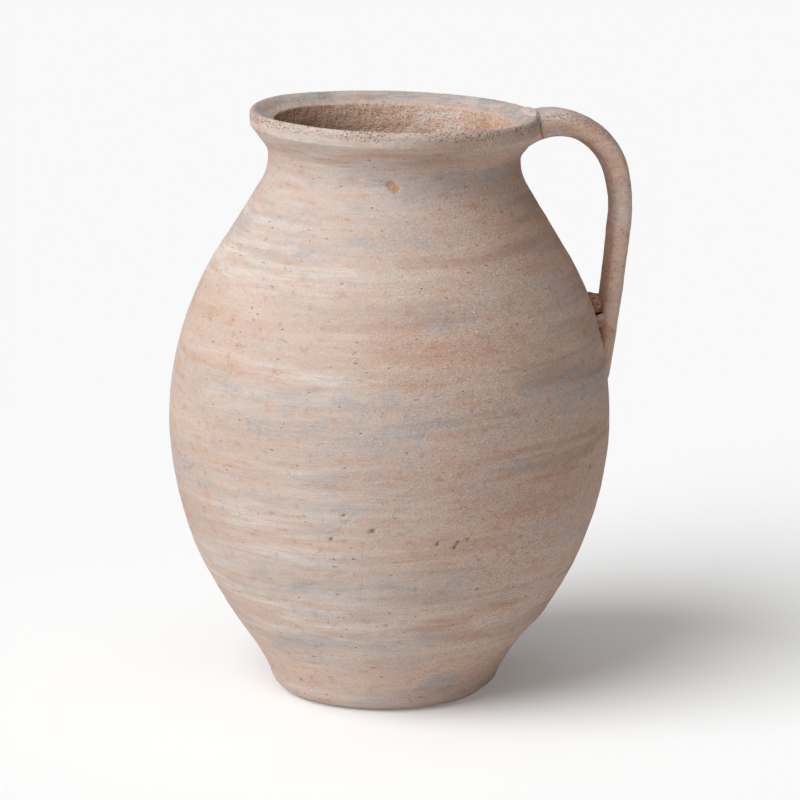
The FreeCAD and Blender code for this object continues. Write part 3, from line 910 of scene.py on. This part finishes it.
class Finish:
    """A node material built up step by step from the pot's own coordinates and the meshes' stain and
    painted-shade layers.
    """

    def __init__(self, name):
        """An empty material, and the coordinates that its patterns are laid out in."""
        self.material = bpy.data.materials.new(name)
        self.material.use_nodes = True
        self.tree = self.material.node_tree
        self.tree.nodes.clear()
        self.place = self.node("ShaderNodeTexCoord").outputs["Object"]

    def node(self, kind, **settings):
        """A new node with its settings."""
        made = self.tree.nodes.new(kind)
        for key, value in settings.items():
            setattr(made, key, value)
        return made

    def feed(self, socket, value):
        """Set a socket to a number or colour, or link it to another socket."""
        if isinstance(value, bpy.types.NodeSocket):
            self.tree.links.new(value, socket)
        else:
            socket.default_value = value

    def layer(self, name):
        """One of the stain layers that the mesh carries."""
        return self.node("ShaderNodeAttribute", attribute_name=name).outputs["Fac"]

    def stretched(self, around, up):
        """The coordinates scaled to features of these sizes in millimetres, round the pot and up it."""
        scaled = self.node("ShaderNodeMapping")
        self.feed(scaled.inputs["Vector"], self.place)
        scaled.inputs["Rotation"].default_value = (0.012, -STREAK_RISE, 0)
        scaled.inputs["Scale"].default_value = (1 / (around * MM), 1 / (around * MM), 1 / (up * MM))
        return scaled.outputs["Vector"]

    def noise(self, around, up, detail):
        """Soft noise with features of these sizes in millimetres, round the pot and up it."""
        made = self.node("ShaderNodeTexNoise")
        self.feed(made.inputs["Vector"], self.stretched(around, up))
        made.inputs["Scale"].default_value = 1
        made.inputs["Detail"].default_value = detail
        return made.outputs["Fac"]

    def cells(self, around, up):
        """Distance from the middles of ragged cells, in cells."""
        where = self.stretched(around, up)
        shake = self.node("ShaderNodeTexNoise")
        self.feed(shake.inputs["Vector"], where)
        shake.inputs["Scale"].default_value = 2.3
        moved = self.node("ShaderNodeVectorMath", operation="MULTIPLY_ADD")
        self.feed(moved.inputs[0], shake.outputs["Color"])
        moved.inputs[1].default_value = (0.55, 0.55, 0.55)
        self.feed(moved.inputs[2], where)
        made = self.node("ShaderNodeTexVoronoi")
        self.feed(made.inputs["Vector"], moved.outputs[0])
        made.inputs["Scale"].default_value = 1
        return made.outputs["Distance"]

    def between(self, value, low, high, start=0.0, end=1.0):
        """The value carried smoothly from low to high onto start to end."""
        made = self.node("ShaderNodeMapRange", interpolation_type="SMOOTHSTEP")
        self.feed(made.inputs["Value"], value)
        made.inputs["From Min"].default_value = low
        made.inputs["From Max"].default_value = high
        made.inputs["To Min"].default_value = start
        made.inputs["To Max"].default_value = end
        return made.outputs["Result"]

    def calc(self, operation, one, other, clamp=False):
        made = self.node("ShaderNodeMath", operation=operation, use_clamp=clamp)
        self.feed(made.inputs[0], one)
        self.feed(made.inputs[1], other)
        return made.outputs[0]

    def times(self, one, other, clamp=False):
        return self.calc("MULTIPLY", one, other, clamp)

    def mix(self, share, one, other):
        """From one colour to the other by a share."""
        made = self.node("ShaderNodeMix", data_type="RGBA")
        self.feed(made.inputs["Factor"], share)
        colour_sockets = [socket for socket in made.inputs if socket.type == "RGBA"]
        self.feed(colour_sockets[0], one)
        self.feed(colour_sockets[1], other)
        return next(socket for socket in made.outputs if socket.type == "RGBA")

    def finish(self, colour, height, depth, roughness):
        """The finished material: a matt colour with a height for bumps of the given depth."""
        shader = self.node("ShaderNodeBsdfPrincipled")
        shader.inputs["Roughness"].default_value = roughness
        shader.inputs["Specular IOR Level"].default_value = SHEEN
        self.feed(shader.inputs["Base Color"], colour)
        bump = self.node("ShaderNodeBump")
        bump.inputs["Distance"].default_value = depth
        self.feed(bump.inputs["Height"], height)
        self.feed(shader.inputs["Normal"], bump.outputs["Normal"])
        output = self.node("ShaderNodeOutputMaterial")
        self.feed(output.inputs["Surface"], shader.outputs["BSDF"])
        return self.material


PEACH = (0.575, 0.420, 0.340, 1)
HANDLE = (0.66, 0.475, 0.385, 1)
ORANGE = (0.50, 0.295, 0.205, 1)
BARE = (0.56, 0.29, 0.17, 1)
BROWN = (0.31, 0.19, 0.14, 1)
RED_CLAY = (0.33, 0.16, 0.10, 1)
PALE = (0.655, 0.585, 0.535, 1)
SALT = (0.80, 0.75, 0.71, 1)
GREY = (0.36, 0.345, 0.345, 1)
DIRT_AND_SHADE = (0.15, 0.078, 0.052, 1)
INSIDE = (0.64, 0.43, 0.32, 1)
ROUGHNESS = 0.92
SHEEN = 0.22


def washed_clay(name, base, depth):
    """Unglazed clay under a thin pale wash: streaks from the wheel, grey and orange patches, fine pits."""
    clay = Finish(name)
    streak = clay.noise(46, 4.6, 4)
    line = clay.noise(17, 1.0, 3)
    blotch = clay.noise(21, 11, 4)
    mottle = clay.noise(7, 5, 4)
    grain = clay.noise(1.2, 0.95, 3)
    gritty = clay.layer("grit")
    clusters = clay.between(clay.noise(24, 17, 3), 0.56, 0.68)
    specks = clay.between(clay.cells(4.4, 3.2), 0.20, 0.10)
    specks = clay.times(specks, clay.calc("MAXIMUM", clusters, gritty))
    scratches = clay.between(clay.cells(17, 5.5), 0.085, 0.05)
    fine_pits = clay.between(clay.cells(2.3, 1.9), 0.34, 0.2)
    fine_pits = clay.times(fine_pits, gritty)
    pits = clay.calc("MAXIMUM", clay.calc("MAXIMUM", specks, scratches), fine_pits)
    crumbs = clay.between(clay.cells(10, 9), 0.11, 0.05)
    warm = clay.calc("ADD", clay.layer("warm"), clay.between(mottle, 0.50, 0.72, 0, 0.4))
    warm = clay.calc("ADD", warm, clay.between(blotch, 0.50, 0.68, 0, 0.38), clamp=True)
    pale = clay.times(clay.layer("pale"), clay.between(streak, 0.34, 0.62, 0.15, 1.1))
    pale = clay.times(pale, clay.between(line, 0.34, 0.60, 0.45, 1.05), clamp=True)
    grey = clay.times(clay.layer("grey"), clay.between(line, 0.34, 0.60, 0.35, 1.15))
    grey = clay.times(grey, clay.between(blotch, 0.62, 0.38, 0.45, 1.1), clamp=True)
    colour = clay.mix(clay.layer("inner"), base, INSIDE)
    colour = clay.mix(warm, colour, ORANGE)
    colour = clay.mix(pale, colour, PALE)
    colour = clay.mix(grey, colour, GREY)
    flaked = clay.calc("ADD", clay.layer("bare"), clay.times(clay.noise(1.8, 1.4, 4), 1.5))
    bare = clay.times(clay.between(flaked, 1.10, 1.32), clay.between(clay.layer("bare"), 0.02, 0.2))
    colour = clay.mix(clay.times(bare, 0.8), colour, BARE)
    coarse = clay.calc("ADD", clay.times(gritty, 0.34), 0.13)
    colour = clay.mix(clay.times(clay.between(grain, 0.44, 0.66), coarse), colour, BROWN)
    colour = clay.mix(clay.between(mottle, 0.56, 0.74, 0.0, 0.20), colour, BROWN)
    colour = clay.mix(clay.times(clay.between(grain, 0.46, 0.32), coarse), colour, SALT)
    colour = clay.mix(clay.times(crumbs, 0.4), colour, SALT)
    # The dirt layer darkens pits, chips and smudges, and carries painted shade on the neck beside the handle.
    dirt_and_shade = clay.calc("MAXIMUM", clay.times(pits, 0.72), clay.layer("dirt_and_shade"))
    colour = clay.mix(clay.times(dirt_and_shade, 0.82), colour, DIRT_AND_SHADE)
    height = clay.times(line, 0.50)
    for raised, share in ((grain, 0.45), (mottle, 0.60), (crumbs, 0.9)):
        height = clay.calc("ADD", height, clay.times(raised, share))
    height = clay.calc("SUBTRACT", height, clay.times(pits, 0.7))
    return clay.finish(colour, height, depth, ROUGHNESS)


body_clay = washed_clay("washed_body_clay", PEACH, 0.55 * MM)
handle_clay = washed_clay("washed_handle_clay", HANDLE, 0.6 * MM)
joint_clay = washed_clay("bare_joint_clay", RED_CLAY, 0.9 * MM)


def dress(piece, material, node):
    """Give a piece its clay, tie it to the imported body, and let it stand for its plain solid."""
    piece.data.materials.append(material)
    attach(piece, "root")
    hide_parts(node)


dress(pot_floor, body_clay, "base_disc")
dress(lower_wall, body_clay, "lower_body")
dress(upper_wall, body_clay, "upper_body")
dress(neck_rim, body_clay, "neck_rim")
dress(strap, handle_clay, "handle")
dress(rim_clay, handle_clay, "upper_handle_wad")
dress(lower_clay, joint_clay, "lower_handle_wad")
dress(putty, joint_clay, "lower_handle_wad")

# --- Floor, lights and camera ---

CAMERA_DIP = math.radians(12.75)
CAMERA_AWAY = 2.725
CAMERA_HEIGHT = 0.817
CAMERA_ASIDE = 0.0113
LENS = 183
FLOOR_REACH = 14
FLOOR_SIDES = 96
FLOOR_DROP = 0.3 * MM
FLOOR_GLOW = 0.15
SURROUND_STRENGTH = 0.06


def make_floor():
    """A wide round sheet of pale paper that the pot stands on."""
    around = np.linspace(0, 2 * math.pi, FLOOR_SIDES, endpoint=False)
    corners = [
        (FLOOR_REACH * math.cos(angle), FLOOR_REACH * math.sin(angle), -FLOOR_DROP) for angle in around
    ]
    mesh = bpy.data.meshes.new("studio_floor")
    mesh.from_pydata(corners, [], [list(range(FLOOR_SIDES))])
    floor = bpy.data.objects.new("studio_floor", mesh)
    bpy.context.scene.collection.objects.link(floor)
    paper = bpy.data.materials.new("pale_paper")
    paper.use_nodes = True
    shader = paper.node_tree.nodes["Principled BSDF"]
    shader.inputs["Base Color"].default_value = (0.80, 0.80, 0.80, 1)
    shader.inputs["Roughness"].default_value = 1
    shader.inputs["Specular IOR Level"].default_value = 0
    shader.inputs["Emission Color"].default_value = (1, 1, 1, 1)
    shader.inputs["Emission Strength"].default_value = FLOOR_GLOW
    mesh.materials.append(paper)


def studio_sun(name, turn, height, strength, spread, colour):
    """A very soft even light from a turn and a height angle, like a large far window."""
    turn, height = math.radians(turn), math.radians(height)
    level = math.cos(height)
    direction = Vector((math.cos(turn) * level, math.sin(turn) * level, math.sin(height)))
    lamp = bpy.data.lights.new(name, "SUN")
    lamp.energy = strength
    lamp.angle = math.radians(spread)
    lamp.color = colour
    light = bpy.data.objects.new(name, lamp)
    light.location = 3 * direction
    light.rotation_euler = direction.to_track_quat("Z", "Y").to_euler()
    bpy.context.scene.collection.objects.link(light)


def make_camera():
    """The photo's camera, level from side to side and tipped down a little."""
    right = Vector((math.cos(VIEW_RIGHT), math.sin(VIEW_RIGHT), 0))
    away = Vector((-math.sin(VIEW_RIGHT), math.cos(VIEW_RIGHT), 0))
    looking = away * math.cos(CAMERA_DIP) - Vector((0, 0, 1)) * math.sin(CAMERA_DIP)
    above = right.cross(looking)
    camera = bpy.data.objects.new("camera", bpy.data.cameras.new("camera"))
    place = -away * CAMERA_AWAY + right * CAMERA_ASIDE + Vector((0, 0, CAMERA_HEIGHT))
    camera.matrix_world = Matrix.Translation(place) @ Matrix((right, above, -looking)).transposed().to_4x4()
    camera.data.lens = LENS
    bpy.context.scene.collection.objects.link(camera)
    bpy.context.scene.camera = camera


def make_sky():
    """A dim warm surround. Seen directly, behind the floor's edge, it is as pale as the floor."""
    world = bpy.data.worlds.new("studio")
    world.use_nodes = True
    tree = world.node_tree
    surround = tree.nodes["Background"]
    surround.inputs["Color"].default_value = (1, 0.88, 0.78, 1)
    surround.inputs["Strength"].default_value = SURROUND_STRENGTH
    backdrop = tree.nodes.new("ShaderNodeBackground")
    backdrop.inputs["Color"].default_value = (0.88, 0.88, 0.88, 1)
    seen = tree.nodes.new("ShaderNodeLightPath").outputs["Is Camera Ray"]
    either = tree.nodes.new("ShaderNodeMixShader")
    tree.links.new(seen, either.inputs[0])
    tree.links.new(surround.outputs["Background"], either.inputs[1])
    tree.links.new(backdrop.outputs["Background"], either.inputs[2])
    tree.links.new(either.outputs["Shader"], tree.nodes["World Output"].inputs["Surface"])
    bpy.context.scene.world = world


make_floor()
make_camera()
make_sky()
studio_sun("key_light", turn=206, height=44, strength=3.3, spread=50, colour=(0.97, 0.99, 1))
studio_sun("top_light", turn=230, height=84, strength=0.7, spread=60, colour=(1, 0.99, 0.98))
bpy.context.scene.view_settings.view_transform = "Standard"
